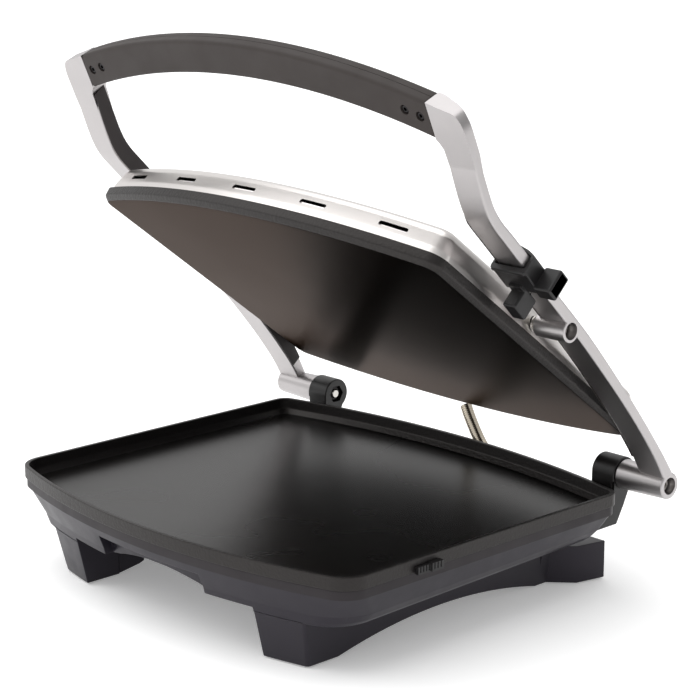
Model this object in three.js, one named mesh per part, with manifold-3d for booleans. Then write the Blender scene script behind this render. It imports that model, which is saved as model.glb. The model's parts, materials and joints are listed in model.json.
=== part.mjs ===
// Panini press with a floating lid on two swing arms. Millimetres, +Z up, hinge axis along X, front at -Y.
import * as THREE from 'three';
import { mergeVertices } from 'three/addons/utils/BufferGeometryUtils.js';
import Module from 'manifold-3d';

const wasm = await Module();
wasm.setup();

// ---------- driving dimensions ----------
const GAP = 0.3;                 // air between neighbouring pieces
const HALF_WIDTH = 165;          // lower plate rim, half of its width
const FRONT_CHORD = -121.4;      // y where the rim's front corners would meet its sides
const REAR_CHORD = 123;
const FRONT_BOW = 27.6;          // how far the front edge bows out between its corners
const REAR_BOW = 21.6;
const FRONT_CORNER = 20;         // corner radii of the plates
const REAR_CORNER = 10;
const RIM_TOP = 69.7;            // height of the lower plate's rim above the table
const PLATE_TOP = 58.7;          // height of the lower cooking surface
const PLATE_BOTTOM = 54.8;
const RIM_WALL = 3;
const BEZEL_TOP = 60.6;
const BEZEL_BOTTOM = 54.5;
const TUB_TOP = 54.2;
const TUB_BOTTOM = 32;
const WALL = 2.6;                // housing wall thickness
const FOOT_BOTTOM = 1;           // the rubber pads stand this far below the legs

const HINGE = new THREE.Vector2(146.3, 74.1);   // y, z of the arms' axis
const ARM_LENGTH = 159.4;        // hinge axis to the lid's pivot axis
const ARM_ANGLE = THREE.MathUtils.degToRad(49.8);
const LID_ANGLE = THREE.MathUtils.degToRad(37.2);
const ARM_INNER = 167;           // x of the arms' inner and outer sides
const ARM_OUTER = 188.3;
const LUG_INNER = 131;           // x of the hinge lugs' faces
const LUG_OUTER = 150;
const LUG_RADIUS = 11.5;
const PIVOT_BOSS_END = 163;      // x of the arms' inner bosses at the lid's pivot

const LID_HALF_WIDTH = 160.8;    // upper plate; it drops inside the lower rim
const LID_FRONT = -103.4;        // chords of the upper plate, measured from the pivot axis
const LID_REAR = 130.9;
const LID_UNDER = -17.5;         // upper cooking surface, below the pivot axis
const LID_PLATE_TOP = -8.2;
const LID_TOP = 12;              // top of the lid's side wall
const LID_CORNERS = [12, 10];    // front and rear corner radii of the upper plate
const SHELL_CORNERS = [14, 14];
const SLOT_HALF = 10.5;          // half width of a vent slot in the lid's front wall
const SLOT_LOW = -0.9;
const SLOT_HIGH = 2.3;
const SLOT_BOW = 470;            // radius on which the slots are fanned
const SLOT_X = [-122, -61, 0, 61, 122];

const GRIP_TILT = THREE.MathUtils.degToRad(16.7);
const GRIP_RADIUS = 578;         // upper edge of the bowed grip
const GRIP_RISE = 50;            // its crest above the corner datum
const GRIP_HEIGHT = 23.4;
const GRIP_DEPTH = 13;
const GRIP_END = 163;            // x where the grip meets the arms' corners
const CLIP_PLACE = 213.5;        // distance of the height clip from the hinge axis
const CLIP_REACH = 203;          // x of the clip knob's open end

// ---------- materials ----------
function finish(color, roughness, metalness) {
  return new THREE.MeshStandardMaterial({ color, roughness, metalness });
}
const MATERIALS = {
  housing: finish(0x3d3b41, 0.5, 0),
  bezel: finish(0x38363a, 0.55, 0),
  nonstick: finish(0x2b2827, 0.42, 0.3),
  steel: finish(0xc9c3bf, 0.32, 1),
  aluminium: finish(0xb4adab, 0.38, 1),
  fastener: finish(0x9b9895, 0.3, 1),
  grip: finish(0x4a4543, 0.55, 0),
  liner: finish(0x2f2c2c, 0.6, 0),
  clip: finish(0x232225, 0.5, 0),
  lug: finish(0x242224, 0.5, 0),
  rubber: finish(0x151515, 0.9, 0),
  conduit: finish(0xa39a8c, 0.4, 1),
  ceramic: finish(0xd8d2c4, 0.8, 0),
  lens: finish(0x8f1a14, 0.2, 0),
};

// ---------- solids ----------
function solid(geometry) {
  const plain = geometry.index ? geometry.toNonIndexed() : geometry.clone();
  for (const name of Object.keys(plain.attributes)) if (name !== 'position') plain.deleteAttribute(name);
  const merged = mergeVertices(plain, 1e-4);
  const mesh = new wasm.Mesh({
    numProp: 3,
    vertProperties: new Float32Array(merged.attributes.position.array),
    triVerts: new Uint32Array(merged.index.array),
  });
  return new wasm.Manifold(mesh);
}

function geometryOf(manifold) {
  const mesh = manifold.getMesh();
  const geometry = new THREE.BufferGeometry();
  const points = new Float32Array((mesh.vertProperties.length / mesh.numProp) * 3);
  for (let i = 0; i < points.length / 3; i++) {
    for (let k = 0; k < 3; k++) points[3 * i + k] = mesh.vertProperties[mesh.numProp * i + k];
  }
  geometry.setAttribute('position', new THREE.BufferAttribute(points, 3));
  geometry.setIndex(new THREE.BufferAttribute(new Uint32Array(mesh.triVerts), 1));
  geometry.computeVertexNormals();
  return geometry;
}

const join = (...pieces) => pieces.reduce((sum, piece) => sum.add(piece));
const cut = (body, ...tools) => tools.reduce((rest, tool) => rest.subtract(tool), body);
const mirrored = (piece) => piece.mirror([1, 0, 0]);

function box(x0, x1, y0, y1, z0, z1) {
  const geometry = new THREE.BoxGeometry(x1 - x0, y1 - y0, z1 - z0);
  geometry.translate((x0 + x1) / 2, (y0 + y1) / 2, (z0 + z1) / 2);
  return solid(geometry);
}

// A disc, cone or tube along X, from x0 (radius r0) to x1 (radius r1), about the line y, z.
function barX(x0, x1, y, z, r0, r1 = r0, sides = 24) {
  const geometry = new THREE.CylinderGeometry(r1, r0, x1 - x0, sides);
  geometry.rotateZ(-Math.PI / 2);
  geometry.translate((x0 + x1) / 2, y, z);
  return solid(geometry);
}

function barY(y0, y1, x, z, r0, r1 = r0, sides = 20) {
  const geometry = new THREE.CylinderGeometry(r1, r0, y1 - y0, sides);
  geometry.translate(x, (y0 + y1) / 2, z);
  return solid(geometry);
}

function barZ(z0, z1, x, y, r0, r1 = r0, sides = 20) {
  const geometry = new THREE.CylinderGeometry(r1, r0, z1 - z0, sides);
  geometry.rotateX(Math.PI / 2);
  geometry.translate(x, y, (z0 + z1) / 2);
  return solid(geometry);
}

// A solid through closed rings of equal point counts, each ring a list of [x, y, z].
function loft(rings) {
  const count = rings[0].length;
  const position = rings.flat(2);
  const index = [];
  for (let level = 0; level + 1 < rings.length; level++) {
    for (let i = 0; i < count; i++) {
      const a = level * count + i;
      const b = level * count + (i + 1) % count;
      index.push(a, b, b + count, a, b + count, a + count);
    }
  }
  const first = rings[0].map((p) => p[0]);
  const [u, v] = Math.max(...first) - Math.min(...first) < 1e-6 ? [1, 2] : [0, 1];
  const outline = rings[0].map((p) => new THREE.Vector2(p[u], p[v]));
  const last = (rings.length - 1) * count;
  const turn = THREE.ShapeUtils.area(outline) > 0 ? 1 : -1;
  for (const [a, b, c] of THREE.ShapeUtils.triangulateShape(outline, [])) {
    if (turn > 0) {
      index.push(a, c, b, last + a, last + b, last + c);
    } else {
      index.push(a, b, c, last + a, last + c, last + b);
    }
  }
  const geometry = new THREE.BufferGeometry();
  geometry.setAttribute('position', new THREE.Float32BufferAttribute(position, 3));
  geometry.setIndex(signedVolume(position, index) > 0 ? index : index.reverse());
  return solid(geometry);
}

// Positive when the triangles face outwards.
function signedVolume(position, index) {
  const corner = (i) => new THREE.Vector3().fromArray(position, 3 * index[i]);
  let volume = 0;
  for (let i = 0; i < index.length; i += 3) volume += corner(i).dot(corner(i + 1).cross(corner(i + 2)));
  return volume / 6;
}

// An outline in the x, y plane, carried from z0 to z1.
function slab(points, z0, z1) {
  return loft([points.map(([x, y]) => [x, y, z0]), points.map(([x, y]) => [x, y, z1])]);
}

// An outline in the y, z plane, carried from x0 to x1.
function slabX(points, x0, x1) {
  return loft([points.map(([y, z]) => [x0, y, z]), points.map(([y, z]) => [x1, y, z])]);
}

// An outline in the x, z plane, carried from y0 to y1.
function slabY(points, y0, y1) {
  return slab(points, -y1, -y0).rotate([90, 0, 0]);
}

// ---------- the plates' outline: straight sides, bowed front and rear, rounded corners ----------
function bowedOutline(plan, inset, corners = [FRONT_CORNER, REAR_CORNER]) {
  const { half, front, rear, frontBow, rearBow } = plan;
  const [sideInset, frontInset, rearInset] = Array.isArray(inset) ? inset : [inset, inset, inset];
  const points = [];
  const edges = [
    { sign: -1, chord: front, bow: frontBow, inward: frontInset, corner: corners[0] },
    { sign: 1, chord: rear, bow: rearBow, inward: rearInset, corner: corners[1] },
  ];
  for (const { sign, chord, bow, inward, corner } of edges) {
    const width = half - sideInset;
    const radius = (half * half + bow * bow) / (2 * bow);
    const centre = chord - sign * (radius - bow);
    const arc = radius - inward;
    const round = Math.max(corner - Math.max(sideInset, inward) * 0.6, 3);
    const filletX = width - round;
    const filletY = centre + sign * Math.sqrt((arc - round) ** 2 - filletX ** 2);
    const swing = Math.atan2(filletX, sign * (filletY - centre));
    const side = [];
    const steps = 4;
    for (let i = 0; i <= steps; i++) {
      const angle = Math.PI / 2 - (Math.PI / 2 - swing) * (i / steps);
      side.push([filletX + round * Math.sin(angle), filletY + sign * round * Math.cos(angle)]);
    }
    const middle = [];
    const spans = 10;
    for (let i = 1; i < spans; i++) {
      const angle = swing * (1 - (2 * i) / spans);
      middle.push([arc * Math.sin(angle), centre + sign * arc * Math.cos(angle)]);
    }
    const far = side.map(([x, y]) => [-x, y]).reverse();
    const run = [...side, ...middle, ...far];
    if (sign < 0) run.reverse();
    points.push(...run);
  }
  return points;
}

const BASE_PLAN = {
  half: HALF_WIDTH, front: FRONT_CHORD, rear: REAR_CHORD,
  frontBow: FRONT_BOW, rearBow: REAR_BOW,
};
const LID_PLAN = {
  half: LID_HALF_WIDTH, front: LID_FRONT, rear: LID_REAR,
  frontBow: FRONT_BOW - 0.7, rearBow: REAR_BOW - 0.7,
};
const ring = (plan, inset, z, corners) => bowedOutline(plan, inset, corners).map(([x, y]) => [x, y, z]);
const dish = (plan, levels, corners) => loft(levels.map(([inset, z]) => ring(plan, inset, z, corners)));

// ---------- scene graph ----------
const press = new THREE.Group();
const arms = new THREE.Group();
arms.position.set(0, HINGE.x, HINGE.y);
arms.rotation.x = -ARM_ANGLE;
const lid = new THREE.Group();
const pivotY = HINGE.x - ARM_LENGTH * Math.cos(ARM_ANGLE);
const pivotZ = HINGE.y + ARM_LENGTH * Math.sin(ARM_ANGLE);
lid.position.set(0, pivotY, pivotZ);
lid.rotation.x = -LID_ANGLE;
const handle = new THREE.Group();
const HANDLE_DATUM = { along: 314, off: 8.2 };
handle.position.set(0, -HANDLE_DATUM.along, HANDLE_DATUM.off);
handle.rotation.x = -GRIP_TILT;
const base = new THREE.Group();
arms.add(handle);
press.add(base, arms, lid);

function add(parent, name, material, manifold) {
  const mesh = new THREE.Mesh(geometryOf(manifold), MATERIALS[material]);
  mesh.name = name;
  parent.add(mesh);
  return mesh;
}

// ---------- base ----------
const LEG_SIDE = 122;            // x of the legs' outer faces at the table
const LEG_TOP_SIDE = 126;        // and where they meet the tub
const LEG_INSIDE = 89;
const LEG_TOP = TUB_BOTTOM + 1;
const LEG_CORNERS = [9, 9];
const SIDE_ARCH = 12.3;          // height of the arch between front and rear legs
const SIDE_REACH = 98;           // half its length
const FRONT_ARCH = 41.5;         // crest of the front wall's lower edge
const FRONT_WALL_BOTTOM = 34.8;
const FRONT_TOP_INSET = 10.4;    // front face of the legs behind the rim, where they meet the tub
const PANEL_HALF = 50;           // recessed panel in the middle of the front wall
const PANEL_TOP = 48.5;
const PANEL_DEPTH = 6.5;
const FRONT_SLOPE = 0.2375;      // how much the front wall leans out per millimetre of height
const REAR_LEG = [[98, 92], [117, 92], [122, 101], [137, 115], [142, 138], [98, 138]];

const LEG_WEB = [[-101, 1.4], [-95, 1.4], [-87, 2.6], [-78, 4], [-74, 5.4], [-72, 28.6], [-101, 28.6]];
const PAD_FRONT = [105, -108];
const PAD_REAR = [131, 129];
const PAD_RADIUS = 6.5;
const GLAND = { x: -52, z: 42.5, radius: 7.5 };

const legRing = (side, front, rear, z) => ring(BASE_PLAN, [HALF_WIDTH - side, front, rear], z, LEG_CORNERS);

// Everything behind a face parallel to the front wall, the given distance behind it.
function behindFront(distance) {
  const levels = [20, 60].map((z) => [[9, 18 - FRONT_SLOPE * (z - FOOT_BOTTOM) + distance, 9], z]);
  return dish(BASE_PLAN, levels);
}

function leg() {
  const skirt = loft([
    legRing(LEG_SIDE, 18, 20, FOOT_BOTTOM),
    legRing(LEG_TOP_SIDE, FRONT_TOP_INSET, 20, LEG_TOP),
  ]);
  const inside = loft([
    legRing(LEG_SIDE - WALL, 18 + WALL, 20 + WALL, FOOT_BOTTOM - 1),
    legRing(LEG_TOP_SIDE - WALL, FRONT_TOP_INSET + WALL, 20 + WALL, TUB_BOTTOM),
  ]);
  const hollow = join(
    box(LEG_INSIDE + WALL, 140, -140, -96 - WALL, 7, TUB_BOTTOM + 3).intersect(inside),
    box(LEG_INSIDE + WALL, 116, -100, -90, 14, 28),
  );
  const front = cut(box(LEG_INSIDE, 140, -140, -96, FOOT_BOTTOM, LEG_TOP).intersect(skirt), hollow);
  const web = slabX(LEG_WEB, LEG_INSIDE, LEG_INSIDE + WALL);
  const rear = slab(REAR_LEG, FOOT_BOTTOM, 27);
  const link = box(98, 126, 92, 122, 24, LEG_TOP);
  return { wall: cut(skirt, inside), feet: join(front, web, rear, link) };
}

function sideArch() {
  const points = [[-SIDE_REACH, -6], [SIDE_REACH, -6]];
  const steps = 14;
  for (let i = steps; i >= 0; i--) {
    const y = -SIDE_REACH + (2 * SIDE_REACH * i) / steps;
    points.push([y, FOOT_BOTTOM - 2 + (SIDE_ARCH + 1) * (1 - (y / SIDE_REACH) ** 2)]);
  }
  return slabX(points, -150, 150);
}

function frontArch() {
  const points = [[-49, 29], [49, 29], [49, FRONT_WALL_BOTTOM]];
  const reach = 43;
  const steps = 10;
  for (let i = 0; i <= steps; i++) {
    const x = reach - (2 * reach * i) / steps;
    points.push([x, FRONT_WALL_BOTTOM + 1 + (FRONT_ARCH - FRONT_WALL_BOTTOM - 1) * (1 - (x / reach) ** 2)]);
  }
  points.push([-49, FRONT_WALL_BOTTOM]);
  return slabY(points, -150, -118);
}

function housing() {
  const tub = dish(BASE_PLAN, [
    [[16, 10.4, 18], TUB_BOTTOM], [[12.5, 9.85, 13], 34.5], [[9.5, 8.75, 9], 39], [2.5, TUB_TOP],
  ]);
  const inside = dish(BASE_PLAN, [
    [[20, 36, 22], TUB_BOTTOM + WALL], [[13, 36, 13], 43],
    [2.5 + WALL, TUB_TOP], [2.5 + WALL, TUB_TOP + 2],
  ]);
  const recess = cut(box(-PANEL_HALF, PANEL_HALF, -160, -112, 25, PANEL_TOP), behindFront(PANEL_DEPTH));
  const { wall, feet } = leg();
  const skirt = cut(
    wall, sideArch(),
    box(-LEG_INSIDE, LEG_INSIDE, -150, -100, -5, LEG_TOP + 1),
    box(-98, 98, 90, 150, -5, TUB_BOTTOM - 2),
  );
  const upper = cut(tub, inside, recess);
  let shell = cut(
    join(upper, skirt, feet, mirrored(feet)), frontArch(),
    box(-LEG_INSIDE, LEG_INSIDE, -150, -124, 30, FRONT_WALL_BOTTOM),
  );
  for (const side of [-1, 1]) {
    const lugHole = box(LUG_INNER - GAP, LUG_OUTER + GAP, 104, 150, 39.7, TUB_TOP + 2);
    shell = cut(shell, side < 0 ? mirrored(lugHole) : lugHole);
    for (const [x, y] of [PAD_FRONT, PAD_REAR]) {
      shell = cut(shell, barZ(-2, 3.3, side * x, y, PAD_RADIUS + GAP));
    }
  }
  return cut(shell, barY(120, 150, GLAND.x, GLAND.z, GLAND.radius + GAP));
}

add(base, 'base_housing', 'housing', housing());

for (const [name, [x, y]] of [['front', PAD_FRONT], ['rear', PAD_REAR]]) {
  for (const [side, sign] of [['left', -1], ['right', 1]]) {
    const edge = barZ(0, 1, sign * x, y, PAD_RADIUS - 0.6, PAD_RADIUS);
    const disc = barZ(1, 3, sign * x, y, PAD_RADIUS);
    add(base, `foot_pad_${name}_${side}`, 'rubber', join(edge, disc));
  }
}

// Plate under the tub, with its four screws.
const COVER = { x: 108, front: -92, rear: 88, top: TUB_BOTTOM - GAP, thick: 2 };
const COVER_SCREWS = [[-96, -80], [96, -80], [-96, 84], [96, 84]];
let cover = box(-COVER.x, COVER.x, COVER.front, COVER.rear, COVER.top - COVER.thick, COVER.top);
for (const [x, y] of COVER_SCREWS) cover = cut(cover, barZ(20, 40, x, y, 1.9, 1.9, 12));
for (let i = -3; i <= 3; i++) cover = cut(cover, box(i * 22 - 7, i * 22 + 7, -4, 0, 20, 40));
add(base, 'bottom_cover', 'housing', cover);
COVER_SCREWS.forEach(([x, y], i) => {
  const head = barZ(COVER.top - COVER.thick - GAP - 2, COVER.top - COVER.thick - GAP, x, y, 2.6, 3.4, 12);
  const shank = barZ(COVER.top - COVER.thick - GAP - 0.2, COVER.top - 0.1, x, y, 1.5, 1.5, 12);
  add(base, `cover_screw_${i + 1}`, 'fastener', join(head, shank));
});

const bezel = cut(
  dish(BASE_PLAN, [[1.9, BEZEL_BOTTOM], [1.2, BEZEL_BOTTOM + 1], [1.2, BEZEL_TOP]]),
  dish(BASE_PLAN, [[3, BEZEL_BOTTOM - 1], [3, BEZEL_TOP + 1]]),
);
add(base, 'lower_bezel', 'bezel', bezel);

const lowerPlate = cut(
  join(
    dish(BASE_PLAN, [[3.8, PLATE_BOTTOM], [3.4, PLATE_BOTTOM + 1], [3.4, BEZEL_TOP + 2]]),
    dish(BASE_PLAN, [[0.6, BEZEL_TOP + GAP], [0, BEZEL_TOP + 1.2], [0, RIM_TOP - 0.6], [0.6, RIM_TOP]]),
  ),
  dish(BASE_PLAN, [
    [5.6, PLATE_TOP], [4.9, BEZEL_TOP], [RIM_WALL, PLATE_TOP + 3.9],
    [RIM_WALL, RIM_TOP - 0.5], [2.4, RIM_TOP + 0.1],
  ]),
);
add(base, 'lower_plate', 'nonstick', lowerPlate);

// Heating element: one bent rod, both ends brought to the rear.
function heater(z, halfX, front, rear) {
  const route = [
    [-14, rear], [-14, 30], [-halfX + 30, 30], [-halfX, 5], [-halfX, front + 30], [-halfX + 30, front],
    [halfX - 30, front], [halfX, front + 30], [halfX, 5], [halfX - 30, 30], [14, 30], [14, rear],
  ].map(([x, y]) => new THREE.Vector3(x, y, z));
  const section = new THREE.Shape();
  section.absarc(0, 0, 3.2, 0, 2 * Math.PI);
  const smooth = new THREE.CatmullRomCurve3(route, false, 'catmullrom', 0.15);
  const geometry = new THREE.ExtrudeGeometry(section, { steps: 30, curveSegments: 3, extrudePath: smooth });
  return solid(geometry);
}
add(base, 'lower_element', 'fastener', heater(50.6, 118, -92, 88));
const SHIELD = [[-130, -96], [130, -96], [130, 88], [-130, 88]];
add(base, 'lower_heat_shield', 'steel', slab(SHIELD, 44.2, 45.2));
add(base, 'lower_thermostat', 'ceramic', barZ(45.6, 54.3, 0, -20, 8));
add(base, 'terminal_block', 'ceramic', box(-72, -38, 62, 80, TUB_BOTTOM + WALL + GAP, 43.4));

// Lugs that carry the arms, bolted through to a nut on the inner face.
function lug() {
  const side = [];
  for (let i = 0; i <= 14; i++) {
    const angle = Math.PI * (i / 14);
    side.push([HINGE.x + LUG_RADIUS * Math.cos(angle), HINGE.y + LUG_RADIUS * Math.sin(angle)]);
  }
  side.push([HINGE.x - LUG_RADIUS, TUB_TOP - 0.4], [108, TUB_TOP - 0.4], [108, 40], [140, 40], [147, 52]);
  let block = slabX(side, LUG_INNER, LUG_OUTER);
  block = cut(block, barX(LUG_INNER - 1, LUG_OUTER + 1, HINGE.x, HINGE.y, 3.8));
  return cut(block, barX(LUG_INNER - 1, LUG_INNER + 5, HINGE.x, HINGE.y, 6.6, 6.6, 6));
}
function hingeBolt() {
  const shank = barX(LUG_INNER + 0.6, 180.5, HINGE.x, HINGE.y, 3.4);
  const socket = barX(182, 190, HINGE.x, HINGE.y, 2.4, 2.4, 6);
  return join(shank, cut(barX(180.4, 184.2, HINGE.x, HINGE.y, 5.1), socket));
}
const hingeNut = () => cut(
  barX(LUG_INNER + 0.8, LUG_INNER + 4.7, HINGE.x, HINGE.y, 6.2, 6.2, 6),
  barX(LUG_INNER - 1, LUG_INNER + 6, HINGE.x, HINGE.y, 3.7),
);
for (const [side, turn] of [['right', (piece) => piece], ['left', mirrored]]) {
  add(base, `hinge_lug_${side}`, 'lug', turn(lug()));
  add(base, `hinge_bolt_${side}`, 'fastener', turn(hingeBolt()));
  add(base, `hinge_nut_${side}`, 'fastener', turn(hingeNut()));
}

const CATCH_BOTTOM = 60.2;
const catchBody = join(
  box(HALF_WIDTH + GAP, 168.2, -68, -57, CATCH_BOTTOM, 65.2),
  box(HALF_WIDTH + GAP, 169.6, -57, -47, CATCH_BOTTOM, 65.8),
);
add(base, 'lock_catch', 'clip', catchBody);

const gland = cut(
  join(
    barY(131, 141, GLAND.x, GLAND.z, GLAND.radius),
    barY(139.8, 143.5, GLAND.x, GLAND.z, GLAND.radius + 2.5, GLAND.radius + 1.5),
  ),
  barY(128, 150, GLAND.x, GLAND.z, 3.8),
);
add(base, 'cord_gland', 'rubber', gland);

// Flexible steel conduit that carries the lid's wires past the hinge.
const conduitRoute = new THREE.CatmullRomCurve3([
  [33, 145, 45], [30, 150, 47.5], [22, 153.5, 54], [8.6, 156, 65.5], [-2, 158, 78], [-9, 160, 87],
].map((point) => new THREE.Vector3(...point)));
const conduitSection = new THREE.Shape();
conduitSection.absarc(0, 0, 4.3, 0, 2 * Math.PI);
const conduitTube = new THREE.ExtrudeGeometry(conduitSection, {
  steps: 14, curveSegments: 5, extrudePath: conduitRoute,
});
add(base, 'wire_conduit', 'conduit', solid(conduitTube));

// ---------- arms: modelled lying flat towards -Y, then swung up by their group ----------
// Each station: distance from the hinge, under face, depth at the outer side, depth at the inner side.
const ARM_STATIONS = [
  [5, -1.5, 9, 9], [20, 1.4, 7.4, 9.8], [42, 3.3, 6.6, 11.8], [70, 4.1, 6.5, 12.5], [105, 3.6, 6.9, 12.6],
  [140, 2.2, 7.5, 12.6], [250, -6.1, 7.2, 12.6], [256, -6.6, 7, 12.6], [263, -6.7, 6.9, 12.5],
  [270, -5.9, 6.7, 12.4], [277, -4.1, 6.6, 12.3], [291, 0.6, 6.2, 12.1], [306, 5.6, 6, 12],
];
const ARM_SECTION = [[ARM_INNER, 1, 0.9], [168.2, 0, 1], [178, 0, 0.66], [187, 0, 0.1], [ARM_OUTER, 0.9, 0]];

function armRing(x, chamfer, fullness) {
  const lower = ARM_STATIONS.map(([s, face]) => [x, -s, face + chamfer]);
  const top = (face, outer, inner) => face + outer + (inner - outer) * fullness - chamfer * 0.4;
  const upper = ARM_STATIONS.map(([s, face, outer, inner]) => [x, -s, top(face, outer, inner)]);
  return [...lower.reverse(), ...upper];
}

const gripEdge = (radius, x) => GRIP_RISE - GRIP_RADIUS + Math.sqrt(radius * radius - x * x);

// The arm's top corner, in the handle's own plane: x across, then distance towards the front.
function armCorner() {
  const outline = [[ARM_INNER + 0.4, 13], [ARM_OUTER, 13], [ARM_OUTER, -15]];
  outline.push([187, -18.2], [184, -20.4]);
  for (const x of [178, 171, GRIP_END]) outline.push([x, -gripEdge(GRIP_RADIUS, x)]);
  outline.push([GRIP_END, -gripEdge(GRIP_RADIUS - GRIP_HEIGHT, GRIP_END)], [166, 0.8], [ARM_INNER + 0.4, 4]);
  return slab(outline.reverse(), 0, 12);
}

const intoHandle = (piece) => piece
  .rotate([-THREE.MathUtils.radToDeg(GRIP_TILT), 0, 0])
  .translate([0, -HANDLE_DATUM.along, HANDLE_DATUM.off]);

function arm() {
  const bar = loft(ARM_SECTION.map(([x, chamfer, fullness]) => armRing(x, chamfer, fullness)));
  const hingeBoss = barX(LUG_OUTER + GAP, ARM_OUTER, 0, 0, 10.3, 7.9, 28);
  const pivotBoss = barX(PIVOT_BOSS_END, ARM_OUTER, -ARM_LENGTH, 0, 7.4, 7.4, 24);
  const shape = join(bar, hingeBoss, pivotBoss, intoHandle(armCorner()));
  return cut(
    shape,
    barX(140, 200, 0, 0, 3.8), barX(180, 200, 0, 0, 5.6),
    barX(150, 200, -ARM_LENGTH, 0, 3.3), barX(179, 200, -ARM_LENGTH, 0, 5.4),
  );
}
function liner() {
  const under = ARM_STATIONS.slice(1).map(([s, face]) => [-s, face + 0.5]);
  const over = ARM_STATIONS.slice(1).map(([s, face, , inner]) => [-s, face + inner - 1.6]);
  const strip = slabX([...under.reverse(), ...over], ARM_INNER - 1.5, ARM_INNER - GAP);
  return cut(strip, barX(150, 200, -ARM_LENGTH, 0, 7.8), barX(140, 200, 0, 0, 10.9));
}

for (const [side, turn] of [['right', (piece) => piece], ['left', mirrored]]) {
  add(arms, `arm_${side}`, 'aluminium', turn(arm()));
  add(arms, `arm_liner_${side}`, 'liner', turn(liner()));
}

// Bowed grip: a front and a rear half around a flat steel core, screwed at each end.
function gripBand(top, bottom, halfX, z0, z1) {
  const outline = [];
  const steps = 14;
  for (let i = 0; i <= steps; i++) {
    const x = -halfX + (2 * halfX * i) / steps;
    outline.push([x, -gripEdge(top, x)]);
  }
  for (let i = steps; i >= 0; i--) {
    const x = -halfX + (2 * halfX * i) / steps;
    outline.push([x, -gripEdge(bottom, x)]);
  }
  return slab(outline, z0, z1);
}
const GRIP_BOTTOM = GRIP_RADIUS - GRIP_HEIGHT;
const coreSpace = gripBand(GRIP_RADIUS - 5.7, GRIP_BOTTOM + 5.7, GRIP_END + 2, 4.2, 8.8);
const SCREWS_X = [-155.5, -144, 144, 155.5];
const screwPlace = (x) => -(gripEdge(GRIP_RADIUS, x) + gripEdge(GRIP_BOTTOM, x)) / 2;
const gripEndX = GRIP_END - GAP;
const gripShell = gripBand(GRIP_RADIUS, GRIP_BOTTOM, gripEndX, 0, GRIP_DEPTH);
let gripFront = cut(gripShell, coreSpace, box(-200, 200, -100, 50, 6.5, 20));
let gripRear = cut(gripShell, coreSpace, box(-200, 200, -100, 50, -5, 6.8));
let core = gripBand(GRIP_RADIUS - 6, GRIP_BOTTOM + 6, gripEndX, 4.5, 8.5);
for (const x of SCREWS_X) {
  const y = screwPlace(x);
  gripFront = cut(gripFront, barZ(-1, 2.4, x, y, 3.1, 3.1, 16), barZ(0, 10, x, y, 1.9, 1.9, 12));
  core = cut(core, barZ(0, 20, x, y, 1.9, 1.9, 12));
  gripRear = cut(gripRear, barZ(0, 11, x, y, 1.9, 1.9, 12));
}
add(handle, 'grip_front', 'grip', gripFront);
add(handle, 'grip_rear', 'grip', gripRear);
add(handle, 'grip_core', 'fastener', core);
SCREWS_X.forEach((x, i) => {
  const y = screwPlace(x);
  const head = cut(barZ(0.5, 2.1, x, y, 2.8, 2.8, 16), barZ(0, 1.2, x, y, 1.2, 1.2, 6));
  const screw = join(head, barZ(2, 10.5, x, y, 1.5, 1.5, 12));
  add(handle, `grip_screw_${i + 1}`, 'fastener', screw);
});

// ---------- height clip on the right arm ----------
const clip = new THREE.Group();
const CLIP_SLOPE = Math.atan((6.1 + 2.2) / (250 - 140));
const armFaceAt = (s) => 2.2 - Math.tan(CLIP_SLOPE) * (s - 140);
clip.position.set(0, -CLIP_PLACE, armFaceAt(CLIP_PLACE));
clip.rotation.x = CLIP_SLOPE;
arms.add(clip);

function heightClip() {
  const outer = [[163.2, -4], [191.2, -4], [191.2, 9.2], [184, 12.6], [171, 16], [163.2, 16]];
  const inner = [[165.1, -0.7], [188.8, -0.7], [188.8, 8.3], [182.5, 10.9], [170, 13.4], [165.1, 13.4]];
  const collar = cut(slabY(outer, -10.5, 10.5), slabY(inner, -12, 12));
  const knob = cut(
    box(190.5, CLIP_REACH, 3.4, 13.6, -5.2, 11.6),
    box(192.8, CLIP_REACH + 1, 5.2, 11.8, -3.3, 9.7),
  );
  const hook = join(box(170.6, 181, 8, 22.5, -17.5, -2.5), box(170.6, 181, 4, 14, -6, -3.5));
  return join(collar, knob, hook);
}
add(clip, 'height_clip', 'clip', heightClip());

// ---------- lid: modelled level about its pivot axis, then tilted by its group ----------
const upperPlate = dish(LID_PLAN, [
  [2.6, LID_UNDER], [0.4, LID_UNDER + 2.2], [0, LID_UNDER + 3.4],
  [0, LID_PLATE_TOP - 0.6], [0.6, LID_PLATE_TOP],
], LID_CORNERS);
const plateHollow = dish(LID_PLAN, [[6, LID_UNDER + 4], [6, LID_PLATE_TOP + 1]], LID_CORNERS);
add(lid, 'upper_plate', 'nonstick', cut(upperPlate, plateHollow));

const SHELL_BOTTOM = LID_PLATE_TOP + GAP;
let lidShell = cut(
  dish(LID_PLAN, [
    [2, SHELL_BOTTOM], [2.2, -4], [4.6, 5.5], [6.2, 8.6], [9, 10.7], [13.5, LID_TOP], [45, 13.8], [90, 15],
  ], SHELL_CORNERS),
  dish(LID_PLAN, [
    [3.1, SHELL_BOTTOM - 1], [3.3, -4], [5.7, 5.2], [7.4, 7.9], [10, 9.8], [14, 11], [45, 12.7], [90, 13.9],
  ], SHELL_CORNERS),
);
for (const x of SLOT_X) {
  const swing = Math.asin(x / SLOT_BOW);
  const tool = box(-SLOT_HALF, SLOT_HALF, -30, 30, SLOT_LOW, SLOT_HIGH)
    .rotate([0, 0, THREE.MathUtils.radToDeg(swing)])
    .translate([x, LID_FRONT - FRONT_BOW + SLOT_BOW * (1 - Math.cos(swing)) + 4, 0]);
  lidShell = cut(lidShell, tool);
}
const LENS_X = [-9, 9];
const LENS_Y = -92;
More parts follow.
